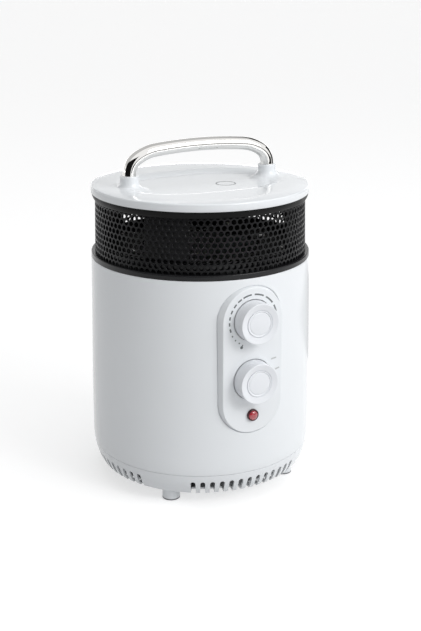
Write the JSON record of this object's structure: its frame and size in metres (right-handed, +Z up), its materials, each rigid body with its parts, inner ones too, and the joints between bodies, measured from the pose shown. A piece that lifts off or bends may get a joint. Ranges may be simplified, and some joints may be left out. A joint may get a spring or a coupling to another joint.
{
  "type": "ceramic fan heater",
  "caption": "Round upright ceramic fan heater with an all-round perforated outlet, a tube handle on the lid, a raised control panel with knobs and a pilot lamp, and air slots round the base.",
  "frame": {"origin": "on the floor, in the middle of the circle of feet, on the drum's axis", "axes": "+Z up along the drum's axis; the control panel faces -Y; the handle runs along X"},
  "size_m": [0.2038, 0.2205, 0.3142],
  "materials": {
    "white_casing": "gloss",
    "knob_white": "gloss",
    "black_plastic": "satin",
    "black_steel": "satin powder coat",
    "chrome_tube": "polished",
    "lamp_red": "clear gloss",
    "lamp_rim": "gloss",
    "lamp_glass": "clear",
    "black_rubber": "matte",
    "zinc_steel": "zinc plated",
    "bare_steel": "satin",
    "duct_steel": "galvanised",
    "black_resin": "matte",
    "heater_resin": "matte",
    "heater_ceramic": "matte",
    "fin_aluminium": "mill",
    "terminal_brass": "bright",
    "cutout_ceramic": "matte",
    "fan_nylon": "satin",
    "switch_nylon": "satin"
  },
  "bodies": {
    "housing": {"air_deflector": "bare_steel", "air_duct": "duct_steel", "base_cover": "white_casing", "base_screws": "zinc_steel", "body_shell": "white_casing", "body_shell_left": "white_casing", "body_shell_posts": "white_casing", "body_shell_rear": "white_casing", "body_shell_right": "white_casing", "bracket_screws": "zinc_steel", "control_bracket": "zinc_steel", "control_panel": "white_casing", "cord_gland": "black_rubber", "deck_plate": "black_plastic", "duct_screws": "zinc_steel", "fan_motor": "black_resin", "foot_pads": "black_rubber", "handle": "chrome_tube", "handle_inserts": "terminal_brass", "handle_screws": "zinc_steel", "heat_shield": "bare_steel", "heater_fins": "fin_aluminium", "heater_frame": "heater_resin", "heater_terminals": "terminal_brass", "lamp_bezel": "lamp_rim", "lamp_holder": "black_resin", "lamp_lens": "lamp_red", "lid": "white_casing", "lid_screws": "zinc_steel", "lower_ring": "black_plastic", "motor_bracket": "zinc_steel", "motor_screws": "zinc_steel", "neck_nuts": "zinc_steel", "neon_lamp": "lamp_glass", "outlet_grille": "black_steel", "outlet_posts": "black_plastic", "post_screws": "zinc_steel", "ptc_bars": "heater_ceramic", "rotary_switch": "black_resin", "shield_screws": "zinc_steel", "terminal_block": "switch_nylon", "thermal_cutout": "cutout_ceramic", "thermostat_body": "black_resin", "tip_spring": "zinc_steel", "tip_switch": "switch_nylon", "upper_ring": "black_plastic"},
    "thermostat_knob": {"thermostat_knob": "knob_white", "thermostat_knob_cap": "knob_white", "thermostat_spindle": "zinc_steel"},
    "selector_knob": {"selector_knob": "knob_white", "selector_knob_cap": "knob_white", "selector_spindle": "zinc_steel"},
    "fan": {"fan_impeller": "fan_nylon", "motor_shaft": "zinc_steel"},
    "tip_plunger": {"tip_plunger": "switch_nylon"}
  },
  "joints": [
    {"name": "thermostat_turn", "type": "hinge", "parent": "housing", "child": "thermostat_knob", "pos_m": [0, -0.1, 0.1718], "axis": [0, 1, 0], "range_deg": [0, 300]},
    {"name": "selector_turn", "type": "hinge", "parent": "housing", "child": "selector_knob", "pos_m": [0, -0.1, 0.1181], "axis": [0, 1, 0], "range_deg": [0, 90]},
    {"name": "fan_spin", "type": "hinge", "parent": "housing", "child": "fan", "pos_m": [0, 0, 0.06], "axis": [0, 0, 1], "continuous": true},
    {"name": "tip_plunger_slide", "type": "slide", "parent": "housing", "child": "tip_plunger", "axis": [0, 0, -1], "range_m": [0, 0.007], "stiffness_N_per_m": 120, "springref_m": 0.012, "deforming": ["tip_spring"]}
  ]
}
